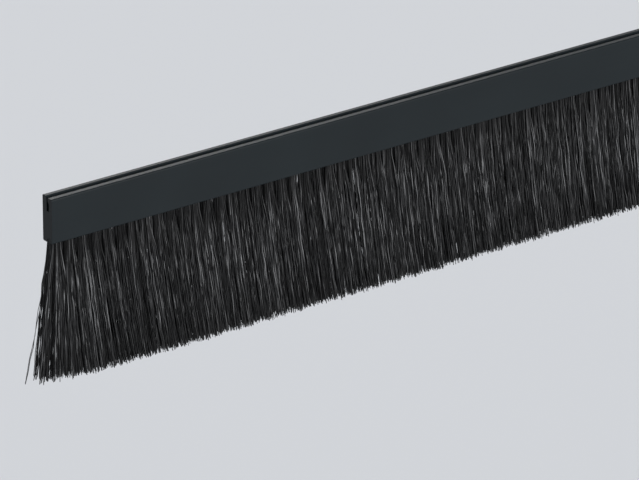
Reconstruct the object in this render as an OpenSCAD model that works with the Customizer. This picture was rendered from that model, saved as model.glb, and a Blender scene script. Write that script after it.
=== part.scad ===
// Push-on brush strip for a rack cable opening: a moulded holder bar with a clip slot
// along its top, and a row of bristle tufts stapled into drilled holes in its underside.
//
// X runs along the strip, the front face looks towards -Y and the bristles hang in -Z.
// The origin is the middle of the clip slot's floor, where the panel's edge seats.
// Sizes are in millimetres.

/* [Holder bar] */
// Length of the holder bar
holder_length = 450; // [150:6:900]
// Height of the solid part, from the underside up to the slot floor
body_height = 13; // [11.5:0.5:25]
// Thickness of the front lip
lip_thickness = 2; // [1.6:0.1:3]
// Thickness of the back wall
wall_thickness = 2.7; // [2:0.1:4]
// How far the back wall stands above the front lip
wall_rise = 0.6; // [0.2:0.1:3]
// Radius of the long outer edges
edge_radius = 0.6; // [0.2:0.1:0.8]

/* [Clip slot] */
// Width of the slot below the bead
slot_width = 1.5; // [1:0.1:3]
// Depth of the slot below the top of the front lip
slot_depth = 5.6; // [4.6:0.1:10]
// How far the bead on the lip reaches into the slot
bead_reach = 0.75; // [0.3:0.05:0.9]
// Height of the bead, with its sloped underside
bead_height = 2.4; // [1.5:0.1:2.6]
// Height of the slope under the bead
bead_slope = 1; // [0.4:0.1:1.3]
// Radius of the bead's nose
bead_radius = 0.3; // [0.1:0.05:0.3]
// Chamfer on the back wall that leads the panel's edge into the slot
lead_in = 0.6; // [0.2:0.1:1]

/* [Tuft holes] */
// Distance from one tuft to the next
tuft_pitch = 6; // [5.7:0.1:9]
// Diameter of the drilled holes
hole_diameter = 4.6; // [3:0.1:4.8]
// Depth of the holes, without the drill's point
hole_depth = 8; // [6:0.5:9]
// Angle of the drill's point
drill_angle = 118; // [90:1:140]

/* [Anchors] */
// How far each end of an anchor bites into the wall of its hole
anchor_bite = 0.4; // [0.2:0.05:0.5]
// Thickness of the flat anchor wire
anchor_thickness = 0.35; // [0.25:0.05:0.6]
// Height of the flat anchor wire
anchor_height = 1.8; // [1:0.1:2.5]
// Height of the filaments' fold above the anchor
fold_height = 0.8; // [0.4:0.1:1.5]

/* [Bristles] */
// Free length of the bristles below the holder
bristle_length = 59; // [20:1:120]
// Clearance between the filaments and the wall of their hole
hole_clearance = 0.05; // [0.02:0.01:0.1]
// Gap between neighbouring tufts once they have opened out
tuft_gap = 0.2; // [0.1:0.05:0.6]
// Length over which a tuft opens out from its hole
flare_length = 18; // [6:1:18]
// Front-to-back size of a tuft where it has opened out
flare_depth = 5.4; // [4.6:0.1:6.5]
// Front-to-back size of a tuft at its tips
tip_depth = 7.4; // [5:0.1:10]
// Depth of the grooves between the locks of bristles
groove_depth = 0.55; // [0.1:0.05:0.9]
// How much the tips differ in length
tip_spread = 2.4; // [0:0.1:4]

/* [Lean of the bristles] */
// How far the tips are combed along the strip
lean_middle = 8; // [0:0.5:14]
// How far the tips lean outwards past the left end
fan_left = 7.5; // [0:0.5:12]
// How much further the tips lean outwards at the right end than in the middle
fan_right = 4; // [0:0.5:12]
// Distance over which the ends pass into the middle's lean
fan_blend = 6; // [4:1:40]
// Share of the lean that is there from the root on
root_share = 0.75; // [0:0.05:1]

/* [Hidden] */
// Tufts that share one node
TUFTS_PER_NODE = 3;
// Facets of round shapes, and points round a tuft
ROUND = 48;
RING_POINTS = 18;
// Overlap that lets one shape cut or join another cleanly
OVER = 1;
SEED = 11;

// The holder's section, in Y and Z
lip_y = -slot_width / 2;
wall_y = slot_width / 2;
front_y = lip_y - lip_thickness;
back_y = wall_y + wall_thickness;
bottom_z = -body_height;
lip_top = slot_depth;
wall_top = slot_depth + wall_rise;
nose_y = lip_y + bead_reach;

// The row of tufts, with the holes on the middle of the solid part
tuft_count = floor(holder_length / tuft_pitch);
hole_y = (front_y + back_y) / 2;
anchor_length = hole_diameter + 2 * anchor_bite;
anchor_top = hole_depth - fold_height;
plug_diameter = hole_diameter - 2 * hole_clearance;
tuft_width = tuft_pitch - tuft_gap;

// The free part of a tuft starts this far up inside its hole, a little slimmer than the plug
root_embed = 0.6;
root_diameter = 0.95 * plug_diameter;
// The middle ring, halfway between the opened-out tuft and its tips
mid_drop = (flare_length + bristle_length) / 2;
mid_depth = (flare_depth + tip_depth) / 2;
// Squareness of a ring's outline: 1 is round, and less is squarer
ROUND_RING = 1;
SQUARE_RING = 0.6;

// Rings down a tuft: drop below the holder, width, front-to-back depth and squareness
RINGS = [
    [-root_embed, root_diameter, root_diameter, ROUND_RING],
    [flare_length, tuft_width, flare_depth, SQUARE_RING],
    [mid_drop, tuft_width, mid_depth, SQUARE_RING],
    [bristle_length, tuft_width, tip_depth, SQUARE_RING],
];

node_count = ceil(tuft_count / TUFTS_PER_NODE);
function node_name(n) = str("tufts_", n < 9 ? "0" : "", n + 1);

function tuft_x(i) = (i - (tuft_count - 1) / 2) * tuft_pitch;

// How far the tips lean along the strip, for a bristle rooted at x
function tip_lean(x) =
    lean_middle
    - (lean_middle + fan_left) * exp(-(holder_length / 2 + x) / fan_blend)
    + fan_right * exp(-(holder_length / 2 - x) / fan_blend);

// The lean at a given drop below the holder
function lean(x, drop) =
    let (s = max(0, drop) / bristle_length)
    tip_lean(x) * (root_share * s + (1 - root_share) * s * s);

// Cosine or sine drawn out towards the corners, for a rounded square
function squared(v, e) = sign(v) * pow(abs(v), e);

// Point k round a ring, set in by its groove and hanging lower by its share of the spread
function tuft_point(x, ring, k, groove, spread) =
    let (
        a = 360 * k / RING_POINTS,
        px = x + ring[1] / 2 * squared(cos(a), ring[3]),
        py = (ring[2] / 2 - groove) * squared(sin(a), ring[3]),
        drop = ring[0] + spread
    )
    [px + lean(px, drop), py, -drop];

// The points of ring r of tuft i: every second one lies in a groove between two locks
function ring_points(i, r) =
    let (
        locks = rands(0.5, 1, RING_POINTS, SEED + i),
        tips = rands(-0.5, 0.5, RING_POINTS, SEED - i - 1),
        at_root = r == 0,
        at_tips = r == len(RINGS) - 1
    )
    [for (k = [0:RING_POINTS - 1])
        tuft_point(
            tuft_x(i), RINGS[r], k,
            at_root || k % 2 == 0 ? 0 : groove_depth * locks[k],
            at_tips ? tip_spread * tips[k] : 0
        )];

// Rounds one corner of the section whose tip is here and whose body lies in +X, +Y
module rounding(r) {
    difference() {
        translate([-OVER, -OVER]) square(r + OVER);
        translate([r, r]) circle(r, $fn = ROUND);
    }
}

// Open space of the clip slot, with the bead left standing on the lip
module slot_section() {
    polygon([
        [lip_y, 0],
        [wall_y, 0],
        [wall_y, wall_top - lead_in],
        [wall_y + lead_in, wall_top],
        [wall_y + lead_in, wall_top + OVER],
        [nose_y, wall_top + OVER],
        [nose_y, lip_top - bead_height + bead_slope],
        [lip_y, lip_top - bead_height],
    ]);
}

module holder_section() {
    difference() {
        union() {
            translate([front_y, bottom_z]) square([back_y - front_y, lip_top - bottom_z]);
            translate([wall_y, 0]) square([wall_thickness, wall_top]);
        }
        slot_section();
        translate([front_y, bottom_z]) rounding(edge_radius);
        translate([back_y, bottom_z]) mirror([1, 0]) rounding(edge_radius);
        translate([front_y, lip_top]) mirror([0, 1]) rounding(edge_radius);
        translate([back_y, wall_top]) rotate(180) rounding(edge_radius);
        translate([nose_y, lip_top]) rotate(180) rounding(bead_radius);
    }
}

// A drilled hole going up from the underside, or what fills it with a smaller diameter
module drilled(diameter) {
    point = diameter / 2 / tan(drill_angle / 2);
    cylinder(h = hole_depth, d = diameter, $fn = ROUND);
    translate([0, 0, hole_depth]) cylinder(h = point, d1 = diameter, d2 = 0, $fn = ROUND);
}

// One piece of flat wire that holds a tuft's fold in its hole
module anchor() {
    translate([-anchor_length / 2, -anchor_thickness / 2, anchor_top - anchor_height])
        cube([anchor_length, anchor_thickness, anchor_height]);
}

module at_hole(i) {
    translate([tuft_x(i), hole_y, bottom_z]) children();
}

module holder() {
    color("#34373a")
        difference() {
            translate([-holder_length / 2, 0, 0])
                rotate([90, 0, 90])
                    linear_extrude(holder_length) holder_section();
            for (i = [0:tuft_count - 1]) {
                at_hole(i) translate([0, 0, -OVER]) cylinder(h = OVER, d = hole_diameter, $fn = ROUND);
                at_hole(i) drilled(hole_diameter);
                at_hole(i) anchor();
            }
        }
}

module anchors() {
    color("#a7a9a6")
        for (i = [0:tuft_count - 1]) at_hole(i) anchor();
}

// The free part of tuft i: rings joined by triangles and closed at both ends
module tuft_bundle(i) {
    last = len(RINGS) - 1;
    rings = [for (r = [0:last]) ring_points(i, r)];
    top_middle = [tuft_x(i), 0, root_embed];
    tip_drop = bristle_length - tip_spread / 2;
    tip_middle = [tuft_x(i) + lean(tuft_x(i), tip_drop), 0, -tip_drop];
    points = concat([for (ring = rings) each ring], [top_middle, tip_middle]);
    top = len(points) - 2;
    tip = len(points) - 1;
    faces = concat(
        [for (r = [0:last - 1], k = [0:RING_POINTS - 1])
            let (
                m = (k + 1) % RING_POINTS,
                a = r * RING_POINTS,
                b = a + RING_POINTS
            )
            each [[a + k, a + m, b + k], [a + m, b + m, b + k]]],
        [for (k = [0:RING_POINTS - 1]) [top, (k + 1) % RING_POINTS, k]],
        [for (k = [0:RING_POINTS - 1])
            [tip, last * RING_POINTS + k, last * RING_POINTS + (k + 1) % RING_POINTS]]
    );
    translate([0, hole_y, bottom_z]) polyhedron(points, faces);
}

// One tuft: filaments folded over their anchor in the hole, and the free bristles
module tuft(i) {
    at_hole(i)
        difference() {
            drilled(plug_diameter);
            anchor();
        }
    tuft_bundle(i);
}

module tuft_group(n) {
    first = n * TUFTS_PER_NODE;
    final = min(first + TUFTS_PER_NODE, tuft_count) - 1;
    color("#2b2d2f")
        for (i = [first:final]) tuft(i);
}

holder();
anchors();
for (n = [0:node_count - 1])
    tuft_group(n);
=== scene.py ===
# %% [markdown]
# # A push-on brush strip
# A brush strip closes the cable opening of a rack. A slim black bar clips onto the edge of a
# panel, and a dense row of stiff black filaments hangs from it, so that cables pass but dust
# and air don't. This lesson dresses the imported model: the bar keeps its solid, and the plain
# bundles that stand for the tufts are replaced by real filaments.

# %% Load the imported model
import math

import bpy
from mathutils import Matrix, Vector


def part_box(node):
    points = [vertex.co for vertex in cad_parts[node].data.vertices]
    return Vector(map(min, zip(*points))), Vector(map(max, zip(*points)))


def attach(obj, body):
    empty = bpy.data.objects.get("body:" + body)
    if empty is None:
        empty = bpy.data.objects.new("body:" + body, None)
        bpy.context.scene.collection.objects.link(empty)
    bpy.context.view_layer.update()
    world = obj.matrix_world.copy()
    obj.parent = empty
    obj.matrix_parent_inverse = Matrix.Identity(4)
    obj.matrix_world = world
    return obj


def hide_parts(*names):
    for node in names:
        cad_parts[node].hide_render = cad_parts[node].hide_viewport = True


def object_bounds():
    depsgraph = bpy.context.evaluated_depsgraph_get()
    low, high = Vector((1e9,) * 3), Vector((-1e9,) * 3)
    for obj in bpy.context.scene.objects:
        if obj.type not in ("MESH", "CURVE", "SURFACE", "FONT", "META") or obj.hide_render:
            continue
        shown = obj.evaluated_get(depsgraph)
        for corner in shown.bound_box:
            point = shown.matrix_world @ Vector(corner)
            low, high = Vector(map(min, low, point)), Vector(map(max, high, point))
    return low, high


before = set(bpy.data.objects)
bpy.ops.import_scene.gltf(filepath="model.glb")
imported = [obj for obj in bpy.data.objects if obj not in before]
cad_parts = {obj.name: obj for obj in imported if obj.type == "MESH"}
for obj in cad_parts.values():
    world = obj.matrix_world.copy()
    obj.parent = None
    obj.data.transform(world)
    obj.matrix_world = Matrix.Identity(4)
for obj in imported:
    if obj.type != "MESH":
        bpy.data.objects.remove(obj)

cad_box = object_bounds()
print("solids span", [[round(v, 4) for v in corner] for corner in cad_box])

# %% [markdown]
# ## Sizes from the model
# Everything below is placed by the bar and by the row of tufts, so those are measured first.
# The bar's box gives its ends, its underside and its middle plane. The tufts share nodes in
# threes, so the number of nodes gives the number of tufts, and the bar's length their pitch.

# %% Measure the bar and the row
MM = 0.001
TUFTS_PER_NODE = 3

low, high = (Vector(corner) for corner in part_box("holder"))
left_end, right_end = low.x, high.x
underside = low.z
middle_y = (low.y + high.y) / 2
tuft_nodes = sorted(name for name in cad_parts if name.startswith("tufts_"))
tuft_count = TUFTS_PER_NODE * len(tuft_nodes)
pitch = (right_end - left_end) / tuft_count
first_tuft_x = left_end + pitch / 2
print(f"{tuft_count} tufts, {pitch / MM:.2f} mm apart, on a bar {(right_end - left_end) / MM:.0f} mm long")

# %% [markdown]
# ## The camera
# The strip is seen from its front left and from above, with a long lens that keeps its edges
# almost parallel. A camera can be placed by its own coordinates, or by what it looks at. The
# second is easier to read: it looks at a point on the strip's middle plane, a little under a
# third of the way along, from a given distance and turned by three angles.

# %% Place the camera
YAW = math.radians(37.43)
PITCH_DOWN = math.radians(23.20)
ROLL = math.radians(0.35)
LENS = 285.9
SENSOR_WIDTH = 36
DISTANCE = 2.0397
FARTHEST_SEEN = 20
AIM_ALONG = 131.7 * MM
AIM_BELOW = 32.65 * MM

aim = Vector((left_end + AIM_ALONG, middle_y, underside - AIM_BELOW))
forward = Vector((
    math.sin(YAW) * math.cos(PITCH_DOWN),
    math.cos(YAW) * math.cos(PITCH_DOWN),
    -math.sin(PITCH_DOWN),
))
level = Vector((math.cos(YAW), -math.sin(YAW), 0))
upright = level.cross(forward)
right = math.cos(ROLL) * level + math.sin(ROLL) * upright
up = math.cos(ROLL) * upright - math.sin(ROLL) * level

camera_data = bpy.data.cameras.new("camera")
camera_data.lens = LENS
camera_data.sensor_width = SENSOR_WIDTH
camera_data.clip_end = FARTHEST_SEEN
camera = bpy.data.objects.new("camera", camera_data)
camera.matrix_world = (
    Matrix.Translation(aim - DISTANCE * forward)
    @ Matrix((right, up, -forward)).transposed().to_4x4()
)
bpy.context.scene.collection.objects.link(camera)
bpy.context.scene.camera = camera
print("camera at", [round(v, 3) for v in camera.location])

# %% [markdown]
# ## Node maths as plain expressions
# Both shaders and Geometry Nodes are graphs of small steps. Writing `1 - mask * 0.3` reads
# better than placing three Math nodes, so an output socket is wrapped in a small class whose
# operators add those nodes. A number on the left needs the reflected form of the operator.

# %% A socket that can be calculated with
def in_use(sockets, name=None):
    """The first socket that its node's settings leave in use, with this name if one is given."""
    return next((s for s in sockets if s.enabled and name in (None, s.name)), None)


class Wire:
    """One output socket of a graph, on which arithmetic adds Math nodes."""

    def __init__(self, graph, socket):
        self.graph = graph
        self.socket = socket

    def output(self, name):
        """Another output of the node that this wire leaves."""
        return Wire(self.graph, in_use(self.socket.node.outputs, name))

    def calc(self, operation, *others):
        return self.graph.math(operation, self, *others)

    def __add__(self, other):
        return self.graph.math("ADD", self, other)

    def __radd__(self, other):
        return self.graph.math("ADD", other, self)

    def __sub__(self, other):
        return self.graph.math("SUBTRACT", self, other)

    def __rsub__(self, other):
        return self.graph.math("SUBTRACT", other, self)

    def __mul__(self, other):
        return self.graph.math("MULTIPLY", self, other)

    def __rmul__(self, other):
        return self.graph.math("MULTIPLY", other, self)

    def __truediv__(self, other):
        return self.graph.math("DIVIDE", self, other)

    def __rtruediv__(self, other):
        return self.graph.math("DIVIDE", other, self)


print("sockets can be added, subtracted, multiplied and divided")

# %% [markdown]
# ## One method for every other node
# A node is made in three steps that must keep their order: create it, choose its settings,
# and only then fill its inputs, because the settings decide which sockets it has. One method
# does all three. A ramp's stops and the names of captured values are settings too, although
# Blender keeps them in lists of their own.

# %% The graph that adds nodes
def plug(tree, place, value):
    """Links a wire to an input socket, or writes a plain value on it."""
    if isinstance(value, Wire):
        tree.links.new(value.socket, place)
    else:
        place.default_value = value


def set_stops(elements, stops):
    """Gives a ramp these stops: each a position and a colour."""
    while len(elements) < len(stops):
        elements.new(0.5)
    for element, (position, colour) in zip(elements, stops):
        element.position = position
        element.color = (*colour, 1)


def set_up(node, name, value):
    if name == "stops":
        set_stops(node.color_ramp.elements, value)
    elif name == "captures":
        for item in value:
            node.capture_items.new("FLOAT", item)
    else:
        setattr(node, name, value)


class Graph:
    """Adds nodes to one tree."""

    def __init__(self, tree):
        self.tree = tree

    def add(self, kind, settings=None, inputs=None):
        """A node with its settings, then its inputs; returns its first output as a wire."""
        node = self.tree.nodes.new(kind)
        for name, value in (settings or {}).items():
            set_up(node, name, value)
        for name, value in (inputs or {}).items():
            place = node.inputs[name] if isinstance(name, int) else in_use(node.inputs, name)
            plug(self.tree, place, value)
        return Wire(self, in_use(node.outputs))

    def math(self, operation, *values):
        return self.add("ShaderNodeMath", {"operation": operation}, dict(enumerate(values)))


print("nodes are added by one method")

# %% [markdown]
# ## Filaments that grow from a rule
# A real tuft is a bundle of straight filaments, folded over a wire and pulled into a drilled
# hole. It leaves the hole as a round bundle, opens out until it meets its neighbours, and the
# filaments cross a little on the way down. Drawing ten thousand of them by hand isn't
# possible, and a particle system can't be kept as a mesh. Geometry Nodes can do it: one short
# curve is duplicated, each copy is moved by a formula, and a thin profile is swept along it.

# %% Sizes of the filaments
FREE_LENGTH = 59 * MM
ROOT_INSIDE = 1.5 * MM
HOLE_RADIUS = 2.35 * MM
FLARE_LENGTH = 18 * MM
FLARE_DEPTH = 5.2 * MM
TIP_DEPTH = 7.2 * MM
FILAMENTS_PER_TUFT = 150
print(f"filaments hang {FREE_LENGTH / MM:.0f} mm, and the row is {TIP_DEPTH / MM:.1f} mm deep at the tips")

# %% [markdown]
# ## The tree and its inputs
# The same tree grows every piece of the row, and the few strays at its end. What differs
# between them, or is worth trying out by hand, becomes a named input with a sensible value.
# The seed is an input too, so that every run draws the same random numbers.

# %% Start the tree
INPUTS = {
    "Tufts": ("NodeSocketInt", TUFTS_PER_NODE),
    "Filaments": ("NodeSocketInt", FILAMENTS_PER_TUFT),
    "First tuft": ("NodeSocketFloat", 0.0),
    "Thickness": ("NodeSocketFloat", 0.34 * MM),
    "Length": ("NodeSocketFloat", FREE_LENGTH),
    "Length spread": ("NodeSocketFloat", 1.3 * MM),
    "Opened width": ("NodeSocketFloat", 1.08 * pitch),
    "Stray": ("NodeSocketFloat", 2.6 * MM),
    "Lock": ("NodeSocketFloat", 1.2 * MM),
    "Crimp": ("NodeSocketFloat", 0.28 * MM),
    "Extra lean": ("NodeSocketFloat", 0.0),
    "Seed": ("NodeSocketInt", 1),
    "Material": ("NodeSocketMaterial", None),
}

row_tree = bpy.data.node_groups.new("row of tufts", "GeometryNodeTree")
interface = row_tree.interface
interface.new_socket("Geometry", in_out="INPUT", socket_type="NodeSocketGeometry")
interface.new_socket("Geometry", in_out="OUTPUT", socket_type="NodeSocketGeometry")
for name, (kind, value) in INPUTS.items():
    socket = interface.new_socket(name, in_out="INPUT", socket_type=kind)
    if value is not None:
        socket.default_value = value

g = Graph(row_tree)
source = g.add("NodeGroupInput")
given = {name: source.output(name) for name in INPUTS}
print(len(given), "inputs:", ", ".join(given))

# %% [markdown]
# ## One curve, copied
# Every filament starts as the same straight curve of a few points. Copies made with
# Duplicate Elements carry a number, from which the tuft that each belongs to follows, and
# the spline parameter says how far down a filament a point lies, from 0 to 1.

# %% Copy one curve for each filament
CURVE_POINTS = 13

line = g.add("GeometryNodeCurvePrimitiveLine", None, {"End": (0, 0, -1)})
line = g.add("GeometryNodeResampleCurve", None, {"Curve": line, "Count": CURVE_POINTS})
copies = g.add(
    "GeometryNodeDuplicateElements", {"domain": "SPLINE"},
    {"Geometry": line, "Amount": given["Tufts"] * given["Filaments"]})
number = copies.output("Duplicate Index")
tuft = (number / given["Filaments"]).calc("FLOOR")
along = g.add("GeometryNodeSplineParameter")
print("a filament has", CURVE_POINTS, "points")

# %% [markdown]
# ## A place in the tuft
# Each filament needs random numbers that stay the same from its root to its tip, so they are
# drawn from its number. The first two give its place in the bundle, from -1 to 1 across and
# from front to back. At the root that square of places is pressed into a round one, which is
# the shape of the drilled hole.

# %% Draw each filament's place
SEED_STEP = 50


def random(salt, low=0.0, high=1.0):
    """A random number that stays the same along one filament; each salt gives another one."""
    return g.add("FunctionNodeRandomValue", {"data_type": "FLOAT"}, {
        "ID": number, "Seed": given["Seed"] * SEED_STEP + salt, "Min": low, "Max": high})


across = random(salt=1, low=-1, high=1)
deep = random(salt=2, low=-1, high=1)
round_across = across * (1 - deep * deep * 0.5).calc("SQRT")
round_deep = deep * (1 - across * across * 0.5).calc("SQRT")
print(len(row_tree.nodes), "nodes so far")

# %% [markdown]
# ## Locks
# Filaments in a real brush cling to each other and gather in locks. Random numbers alone
# would push each its own way, so a lock comes from a smooth noise instead: filaments that
# lie close together read nearly the same value from it, and go the same way.

# %% Push neighbours the same way
TUFTS_APART = 2.1
PIECES_APART = 7.3


def push(salt, fineness):
    """A smooth push from about -1 to 1, much the same for filaments that lie close together."""
    spot = g.add("ShaderNodeCombineXYZ", None, {
        "X": (across + tuft * TUFTS_APART) * fineness,
        "Y": deep * fineness,
        "Z": given["Seed"] * PIECES_APART + salt,
    })
    noise = g.add("ShaderNodeTexNoise", {"noise_dimensions": "3D"}, {
        "Vector": spot, "Scale": 1.0, "Detail": 2.0})
    return noise * 2 - 1


print("locks come from noise,", TUFTS_APART, "apart from tuft to tuft")

# %% [markdown]
# ## Uneven tips
# The brush is trimmed, but never quite level: single filaments end a little short, and so do
# whole locks. At the left end the outermost filaments were cut before they leant outwards,
# so they hang a little higher now.

# %% Give each filament its length
END_TRIM = 2 * MM
FAN_BLEND = 6 * MM
SHORTEST, LONGEST = -1, 0.6

past_end = left_end - given["First tuft"] - (tuft + across * 0.5) * pitch
outermost = (past_end / FAN_BLEND).calc("EXPONENT")
uneven = random(salt=3, low=SHORTEST, high=LONGEST) + push(salt=20, fineness=1.7)
length = given["Length"] + given["Length spread"] * uneven - outermost * END_TRIM
drop = along * (length + ROOT_INSIDE) - ROOT_INSIDE
share = drop.calc("MAXIMUM", 0.0) / FREE_LENGTH
print(f"the outermost filaments end {END_TRIM / MM:.0f} mm higher")

# %% [markdown]
# ## From round holes to one open row
# Just below the bar every tuft is as round as its hole, and a dark gap shows between two of
# them. Further down they have opened out and the row looks closed. A smooth step from one
# to the other blends the round place with the opened one.

# %% Open the tufts out
opened = (share * FREE_LENGTH / FLARE_LENGTH).calc("MINIMUM", 1.0)
opened = opened * opened * (3 - 2 * opened)

half_width = given["Opened width"] / 2
half_depth = FLARE_DEPTH / 2 + share * (TIP_DEPTH - FLARE_DEPTH) / 2
x_in_tuft = round_across * HOLE_RADIUS * (1 - opened) + across * half_width * opened
y_in_tuft = round_deep * HOLE_RADIUS * (1 - opened) + deep * half_depth * opened
print(f"tufts open out over {FLARE_LENGTH / MM:.0f} mm")

# %% [markdown]
# ## Strays and crimp
# No filament hangs quite straight. Most stray a little and a few stray far, which the third
# power of a random number gives. Locks wander together, in broad ones and finer ones. Last,
# each filament has a slight wave from when it was drawn and coiled, with a length and a
# start of its own. All of this grows from nothing at the root.

# %% Let the filaments wander
FINE_LOCKS = 0.6
FEWEST_WAVES, MOST_WAVES = 16, 34
FULL_TURN = 6.28
CRIMP_ONSET = 5
CRIMP_ALONG_ROW = 0.4

aside = random(salt=5, low=-1, high=1)
x_stray = share * (
    given["Stray"] * aside * aside * aside
    + given["Lock"] * push(salt=30, fineness=1.1)
    + given["Lock"] * FINE_LOCKS * push(salt=31, fineness=3.1))
y_stray = share * given["Lock"] * push(salt=32, fineness=1.6)


def crimp(salt):
    """A slight wave down the filament, with its own length and start on each."""
    waves = random(salt, low=FEWEST_WAVES, high=MOST_WAVES)
    turn = share * waves + random(salt + 1, low=0, high=FULL_TURN)
    return turn.calc("SINE") * given["Crimp"] * (share * CRIMP_ONSET).calc("MINIMUM", 1.0)


print(len(row_tree.nodes), "nodes so far")

# %% [markdown]
# ## The lean of the row
# The whole row is combed along the strip, and its ends fan outwards, where no neighbour
# holds the filaments back. One formula says how far a tip leans for any place on the bar, so
# that the pieces of the row join without a seam. Part of the lean is there from the root on,
# and the rest comes as a gentle bend.

# %% Lean the filaments and place their points
LEAN_MIDDLE = 8 * MM
FAN_LEFT = 6.5 * MM
FAN_RIGHT = 4 * MM
ROOT_SHARE = 0.75

root_x = given["First tuft"] + tuft * pitch + x_in_tuft
from_left = ((left_end - root_x) / FAN_BLEND).calc("EXPONENT")
from_right = ((root_x - right_end) / FAN_BLEND).calc("EXPONENT")
tip_lean = (
    LEAN_MIDDLE
    - from_left * (LEAN_MIDDLE + FAN_LEFT)
    + from_right * FAN_RIGHT
    + given["Extra lean"]
)
lean = tip_lean * share * (ROOT_SHARE + share * (1 - ROOT_SHARE))

point = g.add("ShaderNodeCombineXYZ", None, {
    "X": root_x + lean + x_stray + crimp(salt=40) * CRIMP_ALONG_ROW,
    "Y": y_in_tuft + y_stray + crimp(salt=42) + middle_y,
    "Z": underside - drop,
})
curves = g.add("GeometryNodeSetPosition", None, {"Geometry": copies, "Position": point})
print(f"tips lean {LEAN_MIDDLE / MM:.0f} mm along, and {FAN_LEFT / MM:.1f} mm outwards at the left end")

# %% [markdown]
# ## What the finish needs to know
# Sweeping makes new points, so what the material will read has to be kept before that. Each
# filament has a tone of its own, and it catches the light in short stretches, where its
# wave turns it towards a lamp. A fine noise along it paints those glints into its colour, as
# painted highlights. Capture Attribute carries these values, and how far along a point lies,
# over to the tube.

# %% Keep the tone with its painted glints, and the place along each filament
GLINT_NUMBERS_APART = 1.7
GLINTS_ALONG = 7
TONE_SPREAD = 0.75
GLINT_STRENGTH = 1.5
TONE_AND_GLINT_OFFSET = 0.62

stretch = g.add("ShaderNodeCombineXYZ", None, {
    "X": number * GLINT_NUMBERS_APART, "Y": along * GLINTS_ALONG, "Z": given["Seed"]})
glint = g.add("ShaderNodeTexNoise", {"noise_dimensions": "3D"}, {
    "Vector": stretch, "Scale": 1.0, "Detail": 1.0})
# Painted glints: a fine noise lightens short stretches of each filament's random tone, as painted
# highlights.
shade = random(salt=11) * TONE_SPREAD + glint * GLINT_STRENGTH - TONE_AND_GLINT_OFFSET
shade = shade.calc("MAXIMUM", 0.0).calc("MINIMUM", 1.0)
kept = g.add("GeometryNodeCaptureAttribute", {"domain": "POINT", "captures": ("along", "shade")}, {
    "Geometry": curves, "along": along, "shade": shade})
print("kept on every point: along and shade")

# %% [markdown]
# ## A thin profile, swept along the curves
# An extruded filament has a round section, but at a third of a millimetre nobody can count
# its sides. Three sides with smooth shading look round and keep thousands of filaments
# light. The ends are capped, because a brush is trimmed and its cut ends show.

# %% Sweep the profile
PROFILE_SIDES = 3

circle = g.add("GeometryNodeCurvePrimitiveCircle", {"mode": "RADIUS"}, {
    "Resolution": PROFILE_SIDES, "Radius": given["Thickness"] / 2})
profile = g.add("GeometryNodeCaptureAttribute", {"domain": "POINT", "captures": ("around",)}, {
    "Geometry": circle, "around": g.add("GeometryNodeSplineParameter")})
tubes = g.add("GeometryNodeCurveToMesh", None, {
    "Curve": kept, "Profile Curve": profile, "Fill Caps": True})
tubes = g.add("GeometryNodeSetShadeSmooth", None, {"Geometry": tubes})
print("the profile has", PROFILE_SIDES, "sides")

# %% [markdown]
# ## Values for the material, and a map for baking
# The material reads two attributes: along, and the tone with its painted glints. A baked copy
# of the colours needs a map instead, which gives every point of a tube its place on a flat
# sheet. Unwrapping thousands of tubes would leave each a few specks, so all of them share one
# map: dark filaments lie on its left and pale ones on its right, with roots at the bottom and
# tips at the top.

# %% Store the attributes and the map, and end the tree
MAP_MARGIN = 0.02
MAP_WIDTH = 0.9
MAP_AROUND = 0.05
MAP_HEIGHT = 0.96

for name in ("along", "shade"):
    tubes = g.add("GeometryNodeStoreNamedAttribute", {"data_type": "FLOAT", "domain": "POINT"}, {
        "Geometry": tubes, "Name": name, "Value": kept.output(name)})
spot_on_map = g.add("ShaderNodeCombineXYZ", None, {
    "X": MAP_MARGIN + kept.output("shade") * MAP_WIDTH + profile.output("around") * MAP_AROUND,
    "Y": MAP_MARGIN + kept.output("along") * MAP_HEIGHT,
})
tubes = g.add("GeometryNodeStoreNamedAttribute", {"data_type": "FLOAT2", "domain": "CORNER"}, {
    "Geometry": tubes, "Name": "OFBake", "Value": spot_on_map})

solid = g.add("GeometryNodeRealizeInstances", None, {"Geometry": tubes})
solid = g.add("GeometryNodeSetMaterial", None, {"Geometry": solid, "Material": given["Material"]})
g.add("NodeGroupOutput", None, {"Geometry": solid})
print(len(row_tree.nodes), "nodes in the finished tree")

# %% [markdown]
# ## From the tree to plain meshes
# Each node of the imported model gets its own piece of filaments, so the row still comes apart
# as the solids do. The modifier's inputs are set by their identifiers, the result is turned
# into a plain mesh, and the object that carried the modifier is thrown away.

# %% Grow one piece
def set_inputs(modifier, values):
    items = [item for item in modifier.node_group.interface.items_tree
             if getattr(item, "in_out", "") == "INPUT"]
    identifiers = {item.name: item.identifier for item in items}
    for name, value in values.items():
        modifier[identifiers[name]] = value


def grow(name, values):
    """Runs the tree once with these inputs, and returns its result as a plain mesh object."""
    carrier = bpy.data.objects.new("carrier", bpy.data.meshes.new("carrier"))
    bpy.context.scene.collection.objects.link(carrier)
    modifier = carrier.modifiers.new("row of tufts", "NODES")
    modifier.node_group = row_tree
    set_inputs(modifier, values)
    view = bpy.context.evaluated_depsgraph_get()
    mesh = bpy.data.meshes.new_from_object(carrier.evaluated_get(view))
    mesh.name = name
    bpy.data.objects.remove(carrier)
    piece = bpy.data.objects.new(name, mesh)
    bpy.context.scene.collection.objects.link(piece)
    return piece


print("ready to grow pieces from", row_tree.name)

# %% [markdown]
# ## Finishes
# Each finish is one material: a graph that feeds a few sockets of the Principled shader. What
# varies over the surface is linked, and what is the same everywhere is written on the socket.

# %% Helpers for the finishes
def new_material(name):
    material = bpy.data.materials.new(name)
    material.use_nodes = True
    return material, Graph(material.node_tree)


def set_shader(g, values):
    """Links or writes these sockets of the material's shader."""
    shader = g.tree.nodes["Principled BSDF"]
    for name, value in values.items():
        plug(g.tree, shader.inputs[name], value)


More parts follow.
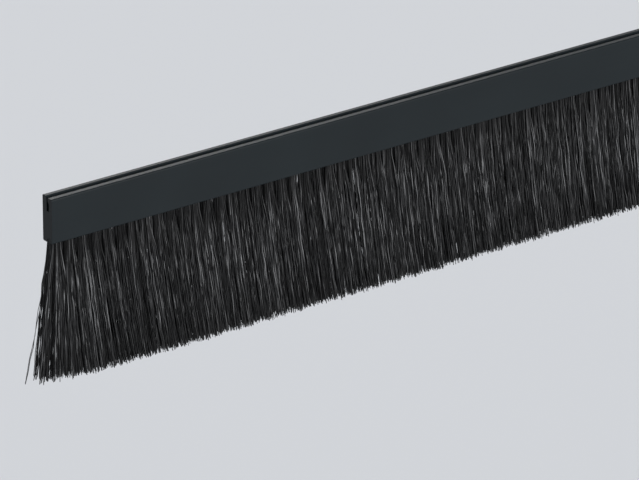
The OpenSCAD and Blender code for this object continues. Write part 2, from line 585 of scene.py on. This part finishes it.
def ramp(g, factor, stops):
    return g.add("ShaderNodeValToRGB", {"stops": stops}, {"Fac": factor})


def stored(g, name):
    """A value that the filaments carry on their points."""
    return g.add("ShaderNodeAttribute", {"attribute_name": name}).output("Fac")


print("finishes can be mixed")

# %% [markdown]
# ## The filaments' finish
# The filaments are extruded nylon: black all through, semi-gloss, and no two quite the same
# tone. One even black would close the row to a flat dark band, so a ramp turns the stored
# tone into near-black for most of them and greys for the few that catch the light, which are
# painted highlights. A second ramp paints light along each filament: a painted shadow at the
# roots, which lie in the bar's shadow, a painted sheen down the middle, and painted darkening
# towards the tips.

# %% Filament finish
def grey(value):
    return (value, value, value)


def filament_finish():
    material, g = new_material("bristle_filament")
    # The pale end of this ramp paints highlights on the filaments that catch the light.
    tone = ramp(g, stored(g, "shade"), [
        (0.0, (0.0015, 0.0016, 0.0017)),
        (0.5, (0.006, 0.0062, 0.0066)),
        (0.75, (0.045, 0.0455, 0.047)),
        (1.0, (0.24, 0.241, 0.246)),
    ])
    # Painted light along each filament: a painted shadow at the roots, a painted sheen down the middle,
    # painted darkening towards the tips.
    painted_light_along = ramp(g, stored(g, "along"), [
        (0.0, grey(0.25)),
        (0.12, grey(0.45)),
        (0.32, grey(1.0)),
        (0.6, grey(1.0)),
        (1.0, grey(0.35)),
    ])
    colour = g.add("ShaderNodeMix", {"data_type": "RGBA", "blend_type": "MULTIPLY"}, {
        "Factor": 1.0, "A": tone, "B": painted_light_along})
    set_shader(g, {"Base Color": colour, "Roughness": 0.36, "Specular IOR Level": 0.38})
    return material


filament = filament_finish()
print(filament.name, "has", len(filament.node_tree.nodes), "nodes")

# %% [markdown]
# ## The bar's finish
# The bar is black plastic with a satin skin. It is shaped in one long run, so its grain lies
# along it: a noise that is squeezed along X gives fine lines in the gloss and a faint bump.
# A slow cloud lets the black drift a little, as moulded plastic does. Both read Object
# coordinates, since the bar has no map of its own.

# %% Bar finish
def bar_finish():
    material, g = new_material("holder_plastic")
    where = g.add("ShaderNodeTexCoord").output("Object")
    lengthwise = g.add("ShaderNodeMapping", None, {"Vector": where, "Scale": (0.02, 1.0, 1.0)})
    grain = g.add("ShaderNodeTexNoise", None, {"Vector": lengthwise, "Scale": 900.0, "Detail": 3.0})
    cloud = g.add("ShaderNodeTexNoise", None, {"Vector": where, "Scale": 22.0, "Detail": 2.0})
    tone = ramp(g, cloud, [(0.3, (0.0034, 0.0058, 0.0072)), (0.7, (0.0046, 0.0076, 0.0092))])
    bump = g.add("ShaderNodeBump", None, {"Height": grain, "Strength": 0.08, "Distance": 0.05 * MM})
    set_shader(g, {
        "Base Color": tone,
        "Roughness": 0.38 + 0.08 * grain,
        "Normal": bump,
        "Specular IOR Level": 0.15,
    })
    return material


bar = bar_finish()
print(bar.name, "has", len(bar.node_tree.nodes), "nodes")

# %% [markdown]
# ## The anchors' finish
# The anchors are short bits of flat steel wire, deep inside the bar. They only show when the
# part is taken apart, but then they should look like drawn wire: bare metal with fine
# streaks along its length, which is again a noise that is squeezed along X.

# %% Anchor finish
def anchor_finish():
    material, g = new_material("anchor_wire")
    where = g.add("ShaderNodeTexCoord").output("Object")
    lengthwise = g.add("ShaderNodeMapping", None, {"Vector": where, "Scale": (1.0, 20.0, 20.0)})
    streaks = g.add("ShaderNodeTexNoise", None, {"Vector": lengthwise, "Scale": 400.0})
    tone = ramp(g, streaks, [(0.3, (0.5, 0.5, 0.48)), (0.7, (0.66, 0.66, 0.64))])
    set_shader(g, {"Base Color": tone, "Roughness": 0.25 + 0.2 * streaks, "Metallic": 1.0})
    return material


steel = anchor_finish()
print(steel.name, "has", len(steel.node_tree.nodes), "nodes")

# %% [markdown]
# ## The bar and the anchors keep their solids
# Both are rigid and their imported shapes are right, so nothing is modelled again. Only the
# material in each of their slots changes.

# %% Dress the bar and the anchors
for node, material in (("holder", bar), ("anchors", steel)):
    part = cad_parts[node]
    for place in part.material_slots:
        place.material = material
    print(node, "wears", material.name)

# %% [markdown]
# ## The row of filaments
# One piece grows for each node of three tufts, and stands for that node. The seed goes up
# with each piece, so that no two are alike. The first piece is at the end that is seen from
# nearby, where its tufts fan out and would look thin, so it gets more filaments.

# %% Grow every piece of the row
FILAMENTS_AT_END = 190

triangles = 0
for n, node in enumerate(tuft_nodes):
    piece = grow(node.replace("tufts", "bristles"), {
        "Filaments": FILAMENTS_AT_END if n == 0 else FILAMENTS_PER_TUFT,
        "First tuft": first_tuft_x + n * TUFTS_PER_NODE * pitch,
        "Seed": n + 1,
        "Material": filament,
    })
    triangles += sum(len(face.vertices) - 2 for face in piece.data.polygons)
    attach(piece, "root")
    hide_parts(node)
print(triangles, "triangles of filament in", len(tuft_nodes), "pieces")

# %% [markdown]
# ## The few that stand off
# At the left end a handful of filaments have sprung free and stand off from the row. A
# random stray would land anywhere, so these are grown by themselves from the outermost hole,
# with the same tree, a narrow width and an extra lean outwards.

# %% Grow the strays at the left end
STRAYS_OUTWARDS = 1.8 * MM
STRAYS_WIDTH = 0.8 * MM


def grow_strays(name, count, lean, seed):
    strays = grow(name, {
        "Tufts": 1,
        "Filaments": count,
        "First tuft": first_tuft_x - STRAYS_OUTWARDS,
        "Opened width": STRAYS_WIDTH,
        "Extra lean": lean,
        "Seed": seed,
        "Material": filament,
    })
    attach(strays, "root")
    print(count, "strays in", name)


grow_strays("bristles_astray_far", count=2, lean=-9 * MM, seed=5)
grow_strays("bristles_astray_near", count=3, lean=-2 * MM, seed=8)

# %% [markdown]
# ## The floor
# A plain pale floor lies well below the tips, so that the row throws no shadow on it in view
# and is seen against one even tone. Its colour makes the background pale, not more light.

# %% Floor
FLOOR_DROP = 450 * MM
FLOOR_HALF = 6.0
FLOOR_COLOUR = (0.66, 0.67, 0.69, 1)
FLOOR_ROUGHNESS = 0.9

floor_z = cad_box[0][2] - FLOOR_DROP
mesh = bpy.data.meshes.new("floor")
mesh.from_pydata(
    [(-FLOOR_HALF, -FLOOR_HALF, floor_z), (FLOOR_HALF, -FLOOR_HALF, floor_z),
     (FLOOR_HALF, FLOOR_HALF, floor_z), (-FLOOR_HALF, FLOOR_HALF, floor_z)],
    [], [(0, 1, 2, 3)])
floor = bpy.data.objects.new("floor", mesh)
bpy.context.scene.collection.objects.link(floor)
floor_material, floor_graph = new_material("floor")
set_shader(floor_graph, {"Base Color": FLOOR_COLOUR, "Roughness": FLOOR_ROUGHNESS})
mesh.materials.append(floor_material)
print(f"floor at {floor_z:.3f} m")

# %% [markdown]
# ## The light
# The light is soft and even. Big lamps near a small part would burn the floor out in some
# views, so three suns are used, which are as bright everywhere. A wide angle makes a sun
# soft. The key lights the bar's front, the back one its other side, and the top one the rim
# of its slot.

# %% Lamps
def sun_lamp(name, azimuth, height, softness, strength):
    """A sun that shines on the strip from this direction, with all angles in degrees."""
    data = bpy.data.lights.new(name, "SUN")
    data.angle = math.radians(softness)
    data.energy = strength
    lamp = bpy.data.objects.new(name, data)
    turn, rise = math.radians(azimuth), math.radians(height)
    away = Vector((
        math.sin(turn) * math.cos(rise),
        -math.cos(turn) * math.cos(rise),
        math.sin(rise),
    ))
    lamp.location = aim + away
    lamp.rotation_euler = away.to_track_quat("Z", "Y").to_euler()
    bpy.context.scene.collection.objects.link(lamp)
    print(name, "lamp, strength", strength)


sun_lamp("key", azimuth=12, height=8, softness=26, strength=3.8)
sun_lamp("back", azimuth=155, height=22, softness=26, strength=0.7)
sun_lamp("top", azimuth=-10, height=70, softness=34, strength=0.9)

# %% [markdown]
# ## The world
# A plain pale sky surrounds everything. It fills the shadows between the filaments, and it is
# what the satin bar reflects where no lamp does. Its strength is low, so that the black stays
# black.

# %% World
WORLD_COLOUR = (0.85, 0.88, 0.92, 1)
WORLD_STRENGTH = 0.5

world = bpy.data.worlds.new("world")
bpy.context.scene.world = world
world.use_nodes = True
background = world.node_tree.nodes["Background"]
background.inputs["Color"].default_value = WORLD_COLOUR
background.inputs["Strength"].default_value = WORLD_STRENGTH
bpy.context.scene.view_settings.view_transform = "Standard"
print("world strength", WORLD_STRENGTH)
